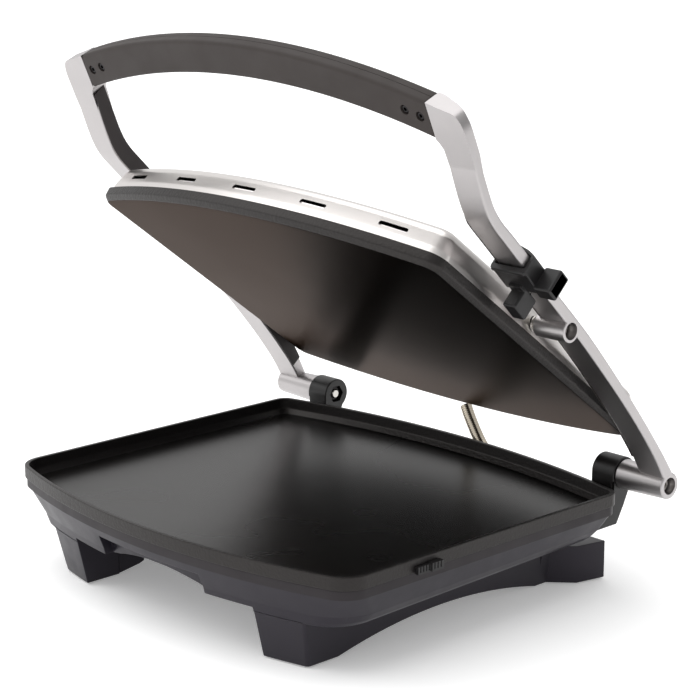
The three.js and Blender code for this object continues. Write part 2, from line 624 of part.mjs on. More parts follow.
for (const x of LENS_X) lidShell = cut(lidShell, barZ(5, 20, x, LENS_Y, 3.6));
const pivotHole = (radius) => barX(140, 175, 0, 0, radius, radius, 20);
const bothPivots = (radius) => join(pivotHole(radius), mirrored(pivotHole(radius)));
lidShell = cut(lidShell, bothPivots(4.4));
add(lid, 'lid_shell', 'steel', lidShell);

// Frame inside the shell that carries the plate and the pivots.
const chassisPlan = (inset, z0, z1) => dish(LID_PLAN, [[inset, z0], [inset, z1]], SHELL_CORNERS);
let chassis = cut(chassisPlan(9, -7.6, 3), chassisPlan(13, -9, 4.5));
for (const side of [-1, 1]) {
  const block = box(138, 150, -12, 12, -7.6, 5);
  chassis = join(chassis, side < 0 ? mirrored(block) : block);
}
chassis = cut(chassis, bothPivots(3.9));
for (const x of SLOT_X) {
  chassis = cut(chassis, box(x - SLOT_HALF - 2, x + SLOT_HALF + 2, -140, -95, SLOT_LOW - 1.5, 4));
}
add(lid, 'lid_chassis', 'liner', chassis);

add(lid, 'upper_element', 'fastener', heater(-9.6, 112, -74, 92));
add(lid, 'upper_heat_shield', 'steel', slab([[-124, -84], [124, -84], [124, 98], [-124, 98]], -4.6, -3.6));
add(lid, 'upper_thermostat', 'ceramic', barZ(-13.2, -5, 0, -20, 8));
LENS_X.forEach((x, i) => {
  add(lid, ['indicator_power', 'indicator_ready'][i], 'lens', barZ(9, 15.4, x, LENS_Y, 3.3));
});

const pivotScrew = () => join(
  barX(141, 179.4, 0, 0, 2.9),
  cut(barX(179.3, 182.6, 0, 0, 4.9), barX(181, 190, 0, 0, 2.3, 2.3, 6)),
);
const pivotSpacer = () => cut(barX(159.4, PIVOT_BOSS_END - GAP, 0, 0, 5.4), barX(150, 170, 0, 0, 3.2));
for (const [side, turn] of [['right', (piece) => piece], ['left', mirrored]]) {
  add(lid, `pivot_screw_${side}`, 'fastener', turn(pivotScrew()));
  add(lid, `pivot_spacer_${side}`, 'fastener', turn(pivotSpacer()));
}

// ---------- origin: centre of the outer box, on the table ----------
press.updateMatrixWorld(true);
const outerBox = new THREE.Box3().setFromObject(press, true);
const CENTRE = outerBox.getCenter(new THREE.Vector3());
press.position.set(-CENTRE.x, -CENTRE.y, 0);

export default press;
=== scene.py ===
import json
import math

import bpy
import numpy as np
from mathutils import Matrix, Vector


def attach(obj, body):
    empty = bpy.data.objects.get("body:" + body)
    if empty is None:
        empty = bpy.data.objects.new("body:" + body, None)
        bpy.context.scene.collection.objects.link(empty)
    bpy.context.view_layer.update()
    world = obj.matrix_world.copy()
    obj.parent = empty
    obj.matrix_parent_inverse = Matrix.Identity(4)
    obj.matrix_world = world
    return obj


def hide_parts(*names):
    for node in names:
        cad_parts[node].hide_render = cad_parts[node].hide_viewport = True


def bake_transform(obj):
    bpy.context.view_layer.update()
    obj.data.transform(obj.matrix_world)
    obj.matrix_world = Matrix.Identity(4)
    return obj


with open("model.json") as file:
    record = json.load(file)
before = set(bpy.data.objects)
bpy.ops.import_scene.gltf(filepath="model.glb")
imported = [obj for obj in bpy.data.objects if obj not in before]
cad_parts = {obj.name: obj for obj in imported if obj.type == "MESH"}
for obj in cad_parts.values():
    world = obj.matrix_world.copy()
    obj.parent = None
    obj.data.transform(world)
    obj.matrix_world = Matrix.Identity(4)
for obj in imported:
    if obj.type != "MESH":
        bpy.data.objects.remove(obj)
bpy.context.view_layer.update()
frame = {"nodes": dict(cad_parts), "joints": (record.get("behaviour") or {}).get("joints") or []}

MM = 0.001
JOINTS = {joint["name"]: joint for joint in frame["joints"]}
HINGE = Vector(JOINTS["arm_hinge"]["pos_m"])
PIVOT = Vector(JOINTS["lid_tilt"]["pos_m"])

# ---------- driving dimensions ----------
HALF_WIDTH = 165.0
BASE_PLAN = {"half": HALF_WIDTH, "front": -121.4, "rear": 123.0, "front_bow": 27.6, "rear_bow": 21.6}
LID_PLAN = {"half": 160.8, "front": -103.4, "rear": 130.9, "front_bow": 26.9, "rear_bow": 20.9}
BASE_CORNERS = (20.0, 10.0)
LID_CORNERS = (12.0, 10.0)
SHELL_CORNERS = (14.0, 14.0)
LEG_CORNERS = (9.0, 9.0)
RIM_TOP = 69.7
PLATE_TOP = 58.7
PLATE_BOTTOM = 54.8
BEZEL_TOP = 60.6
BEZEL_BOTTOM = 54.5
TUB_TOP = 54.2
TUB_BOTTOM = 32.0
WALL = 2.6
HINGE_Y = 146.3
HINGE_Z = 74.1
ARM_LENGTH = 159.4
ARM_TURN = math.radians(-49.8)
LID_TURN = math.radians(-37.2)
ARM_INNER = 167.0
ARM_OUTER = 188.3
LUG_INNER = 131.0
LUG_OUTER = 150.0
LUG_RADIUS = 11.5
HANDLE_ALONG = 314.0
HANDLE_OFF = 8.2
HANDLE_TURN = math.radians(-16.7)
GRIP_RADIUS = 578.0
GRIP_RISE = 50.0
GRIP_HEIGHT = 23.4
GRIP_DEPTH = 13.0
GRIP_END = 163.0
CLIP_PLACE = 213.5
CLIP_TURN = math.atan(8.3 / 110)
CLIP_REACH = 203.0
GAP = 0.3

SCALE = Matrix.Scale(MM, 4)
BASE = Matrix.Translation((HINGE.x, HINGE.y - HINGE_Y * MM, 0)) @ SCALE
ARMS = Matrix.Translation(HINGE) @ Matrix.Rotation(ARM_TURN, 4, "X") @ SCALE
LID = Matrix.Translation(PIVOT) @ Matrix.Rotation(LID_TURN, 4, "X") @ SCALE
HANDLE = ARMS @ Matrix.Translation((0, -HANDLE_ALONG, HANDLE_OFF)) @ Matrix.Rotation(HANDLE_TURN, 4, "X")
CLIP_FACE = 2.2 - math.tan(CLIP_TURN) * (CLIP_PLACE - 140)
CLIP = ARMS @ Matrix.Translation((0, -CLIP_PLACE, CLIP_FACE)) @ Matrix.Rotation(CLIP_TURN, 4, "X")
MIRROR = Matrix.Scale(-1, 4, (1, 0, 0))


# ---------- materials ----------
class Nodes:
    """A node tree with short calls for the nodes used here."""

    def __init__(self, name):
        self.material = bpy.data.materials.new(name)
        self.material.use_nodes = True
        self.tree = self.material.node_tree
        self.shader = self.tree.nodes["Principled BSDF"]
        self.place = self.tree.nodes.new("ShaderNodeTexCoord").outputs["Object"]

    def link(self, source, target):
        self.tree.links.new(source, target)

    def noise(self, scale, detail=4.0, stretch=(1, 1, 1), roughness=0.55):
        mapping = self.tree.nodes.new("ShaderNodeMapping")
        mapping.inputs["Scale"].default_value = stretch
        self.link(self.place, mapping.inputs["Vector"])
        node = self.tree.nodes.new("ShaderNodeTexNoise")
        node.inputs["Scale"].default_value = scale
        node.inputs["Detail"].default_value = detail
        node.inputs["Roughness"].default_value = roughness
        self.link(mapping.outputs["Vector"], node.inputs["Vector"])
        return node.outputs["Fac"]

    def cells(self, scale):
        node = self.tree.nodes.new("ShaderNodeTexVoronoi")
        node.inputs["Scale"].default_value = scale
        self.link(self.place, node.inputs["Vector"])
        return node.outputs["Distance"]

    def spread(self, source, low, high, start=0.3, end=0.7):
        node = self.tree.nodes.new("ShaderNodeMapRange")
        node.inputs["From Min"].default_value = start
        node.inputs["From Max"].default_value = end
        node.inputs["To Min"].default_value = low
        node.inputs["To Max"].default_value = high
        self.link(source, node.inputs["Value"])
        return node.outputs["Result"]

    def ramp(self, source, dark, light, start=0.3, end=0.7):
        node = self.tree.nodes.new("ShaderNodeValToRGB")
        node.color_ramp.elements[0].position = start
        node.color_ramp.elements[0].color = (*dark, 1)
        node.color_ramp.elements[1].position = end
        node.color_ramp.elements[1].color = (*light, 1)
        self.link(source, node.inputs["Fac"])
        return node.outputs["Color"]

    def bump(self, source, strength, distance, before=None):
        node = self.tree.nodes.new("ShaderNodeBump")
        node.inputs["Strength"].default_value = strength
        node.inputs["Distance"].default_value = distance
        self.link(source, node.inputs["Height"])
        if before is not None:
            self.link(before, node.inputs["Normal"])
        return node.outputs["Normal"]

    def set(self, name, value):
        if isinstance(value, (int, float, tuple)):
            self.shader.inputs[name].default_value = value
        else:
            self.link(value, self.shader.inputs[name])


def shade(color, factor):
    return tuple(min(1.0, c * factor) for c in color)


def moulded(
    name, color, roughness, grain=2600.0, depth=0.00006, specular=0.5, patch=0.12, tint=(1, 1, 1),
):
    """Injection-moulded plastic: fine spark-eroded grain, slow colour drift, scuffed roughness."""
    n = Nodes(name)
    drift = n.noise(14, 3)
    fine = n.noise(grain, 2)
    n.set("Base Color", n.ramp(drift, shade(color, 1 - patch), shade(color, 1 + patch)))
    n.set("Roughness", n.spread(n.noise(60, 5), roughness - 0.05, roughness + 0.06))
    n.set("Specular IOR Level", specular)
    n.set("Specular Tint", (*tint, 1))
    n.set("Normal", n.bump(fine, 0.35, depth))
    return n.material


def nonstick(name, color, roughness, grain, depth, strength, specular):
    """Sprayed non-stick coating on cast metal: orange peel with tiny mineral flecks."""
    n = Nodes(name)
    peel = n.noise(grain, 3)
    fleck = n.cells(grain * 1.4)
    tone = n.ramp(fleck, shade(color, 1.35), shade(color, 0.92), 0.05, 0.3)
    n.set("Base Color", tone)
    n.set("Roughness", n.spread(n.noise(9, 2), roughness - 0.012, roughness + 0.012))
    n.set("Specular IOR Level", specular)
    n.set("Specular Tint", (1, 0.94, 0.9, 1))
    n.set("Normal", n.bump(peel, strength, depth))
    return n.material


def seasoned(name, color, roughness, grain):
    """The upper plate's coating: a dark metallic base with its edge reflection held back."""
    n = Nodes(name)
    n.set("Metallic", 1.0)
    fleck = n.cells(grain * 1.4)
    n.set("Base Color", n.ramp(fleck, shade(color, 1.3), shade(color, 0.92), 0.05, 0.3))
    n.set("Specular Tint", (0.52, 0.48, 0.46, 1))
    n.set("Roughness", n.spread(n.noise(9, 2), roughness - 0.012, roughness + 0.012))
    n.set("Normal", n.bump(n.noise(grain, 3), 0.3, 0.00003))
    return n.material


def brushed(name, color, roughness, along, fine=240.0):
    """Brushed sheet metal: long soft streaks along one axis, with faint smudges."""
    n = Nodes(name)
    stretch = tuple(0.02 if axis == along else 1 for axis in "xyz")
    streak = n.noise(fine, 3, stretch)
    cloud = n.noise(9, 3)
    n.set("Metallic", 1.0)
    n.set("Base Color", n.ramp(cloud, shade(color, 0.95), color))
    n.set("Roughness", n.spread(streak, roughness - 0.02, roughness + 0.02))
    return n.material


def cast(name, color, roughness):
    """Bead-blasted and lacquered aluminium casting: even satin, clouded a little by handling."""
    n = Nodes(name)
    n.set("Metallic", 1.0)
    cloud = n.noise(22, 4)
    n.set("Base Color", n.ramp(cloud, shade(color, 0.95), color))
    n.set("Roughness", n.spread(n.noise(60, 3), roughness - 0.02, roughness + 0.02))
    return n.material


def turned(name, color, roughness):
    """Plated steel hardware: faint turning marks about the screw's own axis."""
    n = Nodes(name)
    n.set("Metallic", 1.0)
    n.set("Base Color", n.ramp(n.noise(180, 4), shade(color, 0.82), color))
    n.set("Roughness", n.spread(n.noise(400, 3), roughness - 0.06, roughness + 0.08))
    n.set("Normal", n.bump(n.noise(900, 2), 0.05, 0.00001))
    return n.material


def glassy(name, color):
    """Small translucent lamp lens with a little dust."""
    n = Nodes(name)
    n.set("Base Color", n.ramp(n.noise(240, 3), shade(color, 0.8), color))
    n.set("Roughness", n.spread(n.noise(300, 3), 0.12, 0.22))
    n.set("Transmission Weight", 0.35)
    n.set("IOR", 1.49)
    return n.material


def pottery(name, color):
    """Pressed ceramic: chalky, slightly pitted."""
    n = Nodes(name)
    n.set("Base Color", n.ramp(n.noise(120, 5), shade(color, 0.86), color))
    n.set("Roughness", n.spread(n.noise(200, 3), 0.68, 0.85))
    n.set("Normal", n.bump(n.cells(900), 0.2, 0.00008))
    return n.material


FINISH = {
    "housing": moulded(
        "housing_plastic", (0.0118, 0.0103, 0.0150), 0.36, 2200, 0.00004, 0.32,
        tint=(0.97, 0.91, 1.0),
    ),
    "bezel": moulded(
        "bezel_plastic", (0.0160, 0.0140, 0.0155), 0.50, 1500, 0.00009, 0.34,
        tint=(1.0, 0.93, 0.97),
    ),
    "nonstick": nonstick("plate_coating", (0.0030, 0.0026, 0.0024), 0.27, 1500, 0.00004, 0.3, 0.30),
    "nonstick_under": seasoned("upper_plate_coating", (0.0100, 0.0088, 0.0082), 0.29, 1500),
    "nonstick_rim": nonstick("rim_coating", (0.0090, 0.0080, 0.0083), 0.42, 520, 0.0004, 0.8, 0.38),
    "steel": brushed("brushed_steel", (0.72, 0.69, 0.67), 0.31, "x"),
    "aluminium": cast("satin_aluminium", (0.46, 0.440, 0.440), 0.36),
    "fastener": turned("plated_steel", (0.62, 0.60, 0.57), 0.24),
    "oxide": turned("black_oxide_steel", (0.035, 0.033, 0.034), 0.34),
    "grip": moulded("grip_plastic", (0.0430, 0.0360, 0.0335), 0.55, 2400, 0.00005, 0.2, 0.05),
    "liner": moulded("liner_plastic", (0.0280, 0.0215, 0.0215), 0.55, 2600, 0.00006, 0.35),
    "clip": moulded("clip_nylon", (0.0075, 0.0068, 0.0072), 0.40, 2000, 0.00006, 0.42, 0.08),
    "lug": moulded("lug_plastic", (0.0050, 0.0042, 0.0041), 0.40, 2000, 0.00006, 0.42, 0.08),
    "rubber": moulded("rubber_black", (0.008, 0.008, 0.008), 0.78, 1200, 0.00012, 0.3),
    "conduit": brushed("conduit_steel", (0.56, 0.50, 0.41), 0.22, "z", 400),
    "ceramic": pottery("ceramic_white", (0.62, 0.58, 0.50)),
    "lens": glassy("lens_red", (0.42, 0.02, 0.015)),
}


# ---------- profiles and outlines ----------
def soften(points, radius, steps=3, closed=False):
    """A polyline of points of any dimension with each corner replaced by a short curve."""
    points = [np.array(p, float) for p in points]
    count = len(points)
    out = []
    for i, p in enumerate(points):
        if not closed and i in (0, count - 1):
            out.append(p)
            continue
        before = points[i - 1] - p
        after = points[(i + 1) % count] - p
        share = [min(0.45, radius / max(np.linalg.norm(v), 1e-9)) for v in (before, after)]
        start = p + before * share[0]
        end = p + after * share[1]
        for k in range(steps + 1):
            t = k / steps
            out.append((1 - t) ** 2 * start + 2 * t * (1 - t) * p + t * t * end)
    return out


def bowed(plan, inset, corners=BASE_CORNERS, corner_steps=9, bow_steps=44):
    """The plates' outline: straight sides, bowed front and rear, rounded corners.

    The inset is given as (side, front, rear).
    """
    side_in, front_in, rear_in = inset
    half = plan["half"]
    points = []
    edges = (
        (-1, plan["front"], plan["front_bow"], front_in, corners[0]),
        (1, plan["rear"], plan["rear_bow"], rear_in, corners[1]),
    )
    for sign, chord, bow, inward, corner in edges:
        radius = (half * half + bow * bow) / (2 * bow)
        centre = chord - sign * (radius - bow)
        arc = radius - inward
        fillet = max(corner - max(side_in, inward) * 0.6, 3)
        x0 = half - side_in - fillet
        y0 = centre + sign * math.sqrt((arc - fillet) ** 2 - x0 * x0)
        swing = math.atan2(x0, sign * (y0 - centre))
        near = []
        for k in range(corner_steps + 1):
            angle = math.pi / 2 - (math.pi / 2 - swing) * k / corner_steps
            near.append((x0 + fillet * math.sin(angle), y0 + sign * fillet * math.cos(angle)))
        middle = []
        for k in range(1, bow_steps):
            angle = swing * (1 - 2 * k / bow_steps)
            middle.append((arc * math.sin(angle), centre + sign * arc * math.cos(angle)))
        run = near + middle + [(-x, y) for x, y in reversed(near)]
        points += run if sign > 0 else run[::-1]
    return points


def rings_of(plan, levels, corners=BASE_CORNERS):
    """Rings [x, y, z] for levels of (side, front, rear, z)."""
    return [[(x, y, level[3]) for x, y in bowed(plan, level[:3], corners)] for level in levels]


def even(levels):
    """Levels of (inset, z) or (side, front, rear, z) as (side, front, rear, z)."""
    return [level if len(level) == 4 else (level[0], level[0], level[0], level[1]) for level in levels]


# ---------- meshes ----------
def loft(rings, caps=True, ring_closed=False):
    """Quads between rings of equal point counts, with flat ends or joined end to end."""
    count = len(rings[0])
    verts = [tuple(map(float, p)) for ring in rings for p in ring]
    faces = []
    spans = len(rings) if ring_closed else len(rings) - 1
    for level in range(spans):
        a = level * count
        b = ((level + 1) % len(rings)) * count
        for i in range(count):
            j = (i + 1) % count
            faces.append((a + i, a + j, b + j, b + i))
    if caps and not ring_closed:
        faces.append(tuple(reversed(range(count))))
        faces.append(tuple(range((len(rings) - 1) * count, len(rings) * count)))
    return verts, faces


def prism(points, axis, low, high):
    """An outline carried along an axis: (y, z) for x, (x, z) for y, (x, y) for z."""
    place = {
        "x": lambda p, t: (t, p[0], p[1]),
        "y": lambda p, t: (p[0], t, p[1]),
        "z": lambda p, t: (p[0], p[1], t),
    }[axis]
    return loft([[place(p, low) for p in points], [place(p, high) for p in points]])


def block(x0, x1, y0, y1, z0, z1):
    return prism([(x0, y0), (x1, y0), (x1, y1), (x0, y1)], "z", z0, z1)


def spun(profile, axis, centre, steps=48, softness=0.0, phase=0.0):
    """A turned solid: a profile of (radius, distance along the axis), closed by flat ends."""
    if softness:
        profile = soften(profile, softness, 3)
    rings = []
    for radius, t in profile:
        ring = []
        for k in range(steps):
            angle = phase + 2 * math.pi * k / steps
            u = radius * math.cos(angle)
            v = radius * math.sin(angle)
            ring.append({
                "x": (t, centre[0] + u, centre[1] + v),
                "y": (centre[0] + u, t, centre[1] + v),
                "z": (centre[0] + u, centre[1] + v, t),
            }[axis])
        rings.append(ring)
    return loft(rings)


def bar(axis, low, high, centre, radius, end_radius=None, steps=40):
    return spun([(radius, low), (radius if end_radius is None else end_radius, high)], axis, centre, steps)


def mesh_of(name, data):
    mesh = bpy.data.meshes.new(name)
    mesh.from_pydata(data[0], [], data[1])
    mesh.update()
    tidy = bpy.data.objects.new(name, mesh)
    bpy.context.scene.collection.objects.link(tidy)
    outward(tidy)
    return tidy


def outward(obj):
    """Faces pointing out and doubled points merged."""
    import bmesh
    bm = bmesh.new()
    bm.from_mesh(obj.data)
    bmesh.ops.remove_doubles(bm, verts=bm.verts, dist=1e-4)
    bmesh.ops.recalc_face_normals(bm, faces=bm.faces)
    bm.to_mesh(obj.data)
    bm.free()


def settle(obj):
    """Make the modifiers' result the object's own mesh."""
    depsgraph = bpy.context.evaluated_depsgraph_get()
    mesh = bpy.data.meshes.new_from_object(obj.evaluated_get(depsgraph))
    obj.modifiers.clear()
    old = obj.data
    obj.data = mesh
    bpy.data.meshes.remove(old)
    return obj


def merged(obj, tools, operation):
    """Join or cut an object with a list of mesh data, one after the other."""
    for data in tools:
        tool = data if isinstance(data, bpy.types.Object) else mesh_of("tool", data)
        modifier = obj.modifiers.new("boolean", "BOOLEAN")
        modifier.object = tool
        modifier.operation = operation
        modifier.solver = "EXACT"
        settle(obj)
        bpy.data.objects.remove(tool)
    return obj


def cut(obj, *tools):
    return merged(obj, tools, "DIFFERENCE")


def join(obj, *tools):
    return merged(obj, tools, "UNION")


def simplified(obj, angle=0.6):
    """Coplanar triangles left by a join or a cut become single faces."""
    import bmesh
    bm = bmesh.new()
    bm.from_mesh(obj.data)
    bmesh.ops.remove_doubles(bm, verts=bm.verts, dist=0.004)
    bmesh.ops.dissolve_limit(bm, angle_limit=math.radians(angle), verts=bm.verts, edges=bm.edges)
    bm.to_mesh(obj.data)
    bm.free()
    return obj


def rounded(obj, width, angle=30, segments=3, clamp=True):
    modifier = obj.modifiers.new("edges", "BEVEL")
    modifier.width = width
    modifier.segments = segments
    modifier.limit_method = "ANGLE"
    modifier.angle_limit = math.radians(angle)
    modifier.use_clamp_overlap = clamp
    modifier.miter_outer = "MITER_ARC"
    return settle(obj)


def finished(obj, space, body, slot, replaces=(), material=None, crease=34, flip=False):
    """Put a piece in its place, shade it, give it its finish and let it ride."""
    name = obj.name
    matrix = space @ MIRROR if flip else space
    obj.data.transform(matrix)
    if flip:
        obj.data.flip_normals()
    obj.data.shade_smooth()
    obj.data.set_sharp_from_angle(angle=math.radians(crease))
    weighted = obj.modifiers.new("shading", "WEIGHTED_NORMAL")
    weighted.keep_sharp = True
    weighted.weight = 60
    obj.data.materials.clear()
    obj.data.materials.append(material or FINISH[slot])
    obj.data.name = name
    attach(obj, body)
    if replaces:
        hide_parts(*replaces)
    return obj


SIDES = (("right", False), ("left", True))


def on_side(side, near, far):
    """Two distances from the middle as the low and high x of the given side, 1 or -1."""
    return sorted((side * near, side * far))


# ---------- base ----------
def plate_rings(levels, radius, corners=BASE_CORNERS, plan=BASE_PLAN):
    return rings_of(plan, soften(even(levels), radius), corners)


def lower_plate():
    levels = [
        (3.8, PLATE_BOTTOM), (3.4, PLATE_BOTTOM + 1), (3.4, 60.9), (0, 60.9), (0, RIM_TOP),
        (2.9, RIM_TOP), (2.9, PLATE_TOP + 3.4), (6.0, PLATE_TOP),
    ]
    rings = plate_rings(levels, 0.9)
    under = rings_of(BASE_PLAN, even([(7, PLATE_BOTTOM)]))
    floor = rings_of(BASE_PLAN, even([(8.5, PLATE_TOP), (14, PLATE_TOP)]))
    obj = mesh_of("cooking_plate_lower", loft(under + rings + floor))
    obj.data.materials.append(FINISH["nonstick"])
    obj = finished(obj, BASE, "base", "nonstick", ["lower_plate"])
    paint_rim(obj)
    return obj


def paint_rim(obj):
    """The plate's rim and walls carry the coarser coating; its cooking surface the fine one."""
    rim_starts = (PLATE_TOP + 1.2) * MM
    obj.data.materials.append(FINISH["nonstick_rim"])
    for face in obj.data.polygons:
        if face.center.z > rim_starts or abs(face.normal.z) < 0.6:
            face.material_index = 1


def lower_bezel():
    profile = [(1.2, BEZEL_BOTTOM), (1.2, BEZEL_TOP), (3.0, BEZEL_TOP), (3.0, BEZEL_BOTTOM)]
    rings = rings_of(BASE_PLAN, soften(even(profile), 0.5, 3, closed=True))
    obj = mesh_of("bezel_ring", loft(rings, ring_closed=True))
    return finished(obj, BASE, "base", "bezel", ["lower_bezel"])


LEG_SIDE = 122.0
LEG_INSIDE = 89.0
LEG_WIDEST = 140.0
SKIRT_TOP = 33.0
LEG_BOTTOM = 1.0
BELOW = -5.0
SIDE_ARCH = 12.3
SIDE_REACH = 98.0
FRONT_ARCH = 41.5
FRONT_ARCH_SPRING = 35.8
FRONT_ARCH_HALF = 43.0
FRONT_LEDGE_HALF = 49.0
SKIRT_BOTTOM = 34.8
LEG_CEILING = 32.4
LEG_WEB = [(-101, 1.4), (-95, 1.4), (-87, 2.6), (-78, 4.0), (-74, 5.4), (-72, 28.6), (-101, 28.6)]
FRONT_LEG_HOLLOW = (-140.0, -98.6)
FRONT_LEG_FLOOR = 7.0
REAR_LEG = [(98, 92), (117, 92), (122, 101), (137, 115), (142, 138), (98, 138)]
REAR_LEG_TOP = 27.0
REAR_GAP_HALF = 97.4
REAR_RIB_X = (98.6, 125.0)
REAR_RIB_Y = (92.7, 121.4)
PAD_FRONT = (105.0, -108.0)
PAD_REAR = (131.0, 129.0)
PAD_RADIUS = 6.5
SWEEP_START = 74.0
SWEEP_END = 126.0
SWEEP_RISE = 11.0
GLAND = (-52.0, 42.5)
GLAND_RADIUS = 7.5


def leg_ring(side, front, rear, z):
    return rings_of(BASE_PLAN, [(HALF_WIDTH - side, front, rear, z)], LEG_CORNERS)[0]


def skirt(wall, low, high):
    return loft([
        leg_ring(LEG_SIDE - wall, 18 + wall, 20 + wall, low),
        leg_ring(126 - wall, 10.4 + wall, 20 + wall, high),
    ])


def arch_tool_side():
    points = []
    steps = 28
    for k in range(steps + 1):
        y = SIDE_REACH - 2 * SIDE_REACH * k / steps
        points.append((y, LEG_BOTTOM - 2 + (SIDE_ARCH + 1) * (1 - (y / SIDE_REACH) ** 2)))
    return prism([(-SIDE_REACH, -6), (SIDE_REACH, -6)] + points, "x", -150, 150)


def arch_tool_front():
    points = [(-FRONT_LEDGE_HALF, 29), (FRONT_LEDGE_HALF, 29), (FRONT_LEDGE_HALF, SKIRT_BOTTOM)]
    steps = 24
    for k in range(steps + 1):
        x = FRONT_ARCH_HALF - 2 * FRONT_ARCH_HALF * k / steps
        crown = 1 - (x / FRONT_ARCH_HALF) ** 2
        points.append((x, FRONT_ARCH_SPRING + (FRONT_ARCH - FRONT_ARCH_SPRING) * crown))
    points.append((-FRONT_LEDGE_HALF, SKIRT_BOTTOM))
    return prism(points, "y", -150, -118)


def lower_body():
    """Skirt and legs as one solid: the space inside is cut away except where the legs stand."""
    inside = mesh_of("inside", skirt(WALL, LEG_BOTTOM - 1, LEG_CEILING))
    body = mesh_of("body", skirt(0, LEG_BOTTOM, SKIRT_TOP))
    for side in (1, -1):
        cut(inside, block(*on_side(side, LEG_INSIDE, LEG_WIDEST), -145, -96, BELOW, 40))
    cut(body, inside)
    for side in (-1, 1):
        low, high = on_side(side, LEG_INSIDE + WALL, LEG_WIDEST)
        hollow = mesh_of("hollow", block(low, high, *FRONT_LEG_HOLLOW, FRONT_LEG_FLOOR, 40))
        merged(hollow, [skirt(WALL, 0, LEG_CEILING)], "INTERSECT")
        cut(body, hollow)
    cut(
        body, arch_tool_side(),
        block(-LEG_INSIDE, LEG_INSIDE, -150, -100, BELOW, SKIRT_BOTTOM),
        block(-REAR_GAP_HALF, REAR_GAP_HALF, 90, 150, BELOW, TUB_BOTTOM - 2),
    )
    for side in (-1, 1):
        join(body, prism(LEG_WEB, "x", *on_side(side, LEG_INSIDE + 0.4, LEG_INSIDE + WALL + 0.6)))
        rear = prism([(side * x, y) for x, y in REAR_LEG], "z", LEG_BOTTOM, REAR_LEG_TOP)
        rib = block(*on_side(side, *REAR_RIB_X), *REAR_RIB_Y, REAR_LEG_TOP - 3, SKIRT_TOP - 0.3)
        join(body, rear, rib)
        for x, y in (PAD_FRONT, PAD_REAR):
            cut(body, bar("z", -2, 3.3, (side * x, y), PAD_RADIUS + GAP))
    return body


def swept_up(ring):
    """The tub's lower edge rises like a hull towards the rear."""
    out = []
    for x, y, z in ring:
        run = max(0.0, (y - SWEEP_START) / (SWEEP_END - SWEEP_START))
        low_down = max(0.0, (TUB_TOP - z) / (TUB_TOP - TUB_BOTTOM))
        out.append((x, y, z + SWEEP_RISE * run * run * low_down))
    return out


TUB_CORNER = 23.0
TUB_CORNER_GROWTH = 15.0
TUB_CORNER_FALL = 10.0


def tub_rings(levels):
    """The tub's outline per level: its front corners are fuller low down than under the bezel."""
    rings = []
    for level in levels:
        low_down = min(1.0, max(0.0, (TUB_TOP - level[3]) / TUB_CORNER_FALL))
        corners = (TUB_CORNER + TUB_CORNER_GROWTH * low_down, BASE_CORNERS[1])
        rings.append(swept_up(rings_of(BASE_PLAN, [level], corners)[0]))
    return rings


FRONT_SLOPE = 0.2375
FRONT_INSET = 18.0
PANEL_HALF = 50.0
PANEL_TOP = 48.5
PANEL_DEPTH = 6.5
CAVITY_FRONT = 36.0
LUG_SEAT_FRONT = 104.0
LUG_SEAT_FLOOR = 39.7


def behind_front(distance):
    """Everything behind a face parallel to the front wall."""
    levels = []
    for z in (20, 60):
        levels.append((9, FRONT_INSET - FRONT_SLOPE * (z - LEG_BOTTOM) + distance, 9, z))
    return loft(rings_of(BASE_PLAN, levels))


def front_recess():
    """The shallow hollow in the middle of the front wall."""
    recess = mesh_of("recess", block(-PANEL_HALF, PANEL_HALF, -160, -112, 25, PANEL_TOP))
    return cut(recess, behind_front(PANEL_DEPTH))


def housing():
    outer = soften(even([
        (22, 19, 24, TUB_BOTTOM), (15.4, 10.4, 17.4, TUB_BOTTOM), (12.5, 9.85, 13, 34.5),
        (9.5, 8.75, 9, 39), (2.5, TUB_TOP),
    ]), 0.9, 4)
    tub = mesh_of("press_housing", loft(tub_rings(outer)))
    inner = even([
        (20, CAVITY_FRONT, 22, TUB_BOTTOM + WALL), (13, CAVITY_FRONT, 13, 43),
        (2.5 + WALL, TUB_TOP), (2.5 + WALL, TUB_TOP + 2),
    ])
    cut(tub, loft(tub_rings(inner)), bar("y", 120, 150, GLAND, GLAND_RADIUS + GAP))
    for side in (-1, 1):
        low, high = on_side(side, LUG_INNER - GAP, LUG_OUTER + GAP)
        cut(tub, block(low, high, LUG_SEAT_FRONT, 150, LUG_SEAT_FLOOR, TUB_TOP + 2))
    under_skirt = block(-LEG_INSIDE, LEG_INSIDE, -150, -124, 30, SKIRT_BOTTOM)
    cut(tub, front_recess(), arch_tool_front(), under_skirt)
    join(tub, lower_body())
    simplified(tub)
    rounded(tub, 0.55, 38, 2, clamp=False)
    return finished(tub, BASE, "base", "housing", ["base_housing"], crease=40)


def feet():
    profile = [
        (PAD_RADIUS - 1.6, 0.35), (PAD_RADIUS - 1.2, 0), (PAD_RADIUS - 0.4, 0), (PAD_RADIUS, 0.8),
        (PAD_RADIUS, 3.0), (PAD_RADIUS - 1, 3.0),
    ]
    for end, (x, y) in (("front", PAD_FRONT), ("rear", PAD_REAR)):
        for side, flip in SIDES:
            obj = mesh_of(f"rubber_foot_{end}_{side}", spun(profile, "z", (x, y), 48, 0.35))
            finished(obj, BASE, "base", "rubber", [f"foot_pad_{end}_{side}"], flip=flip)


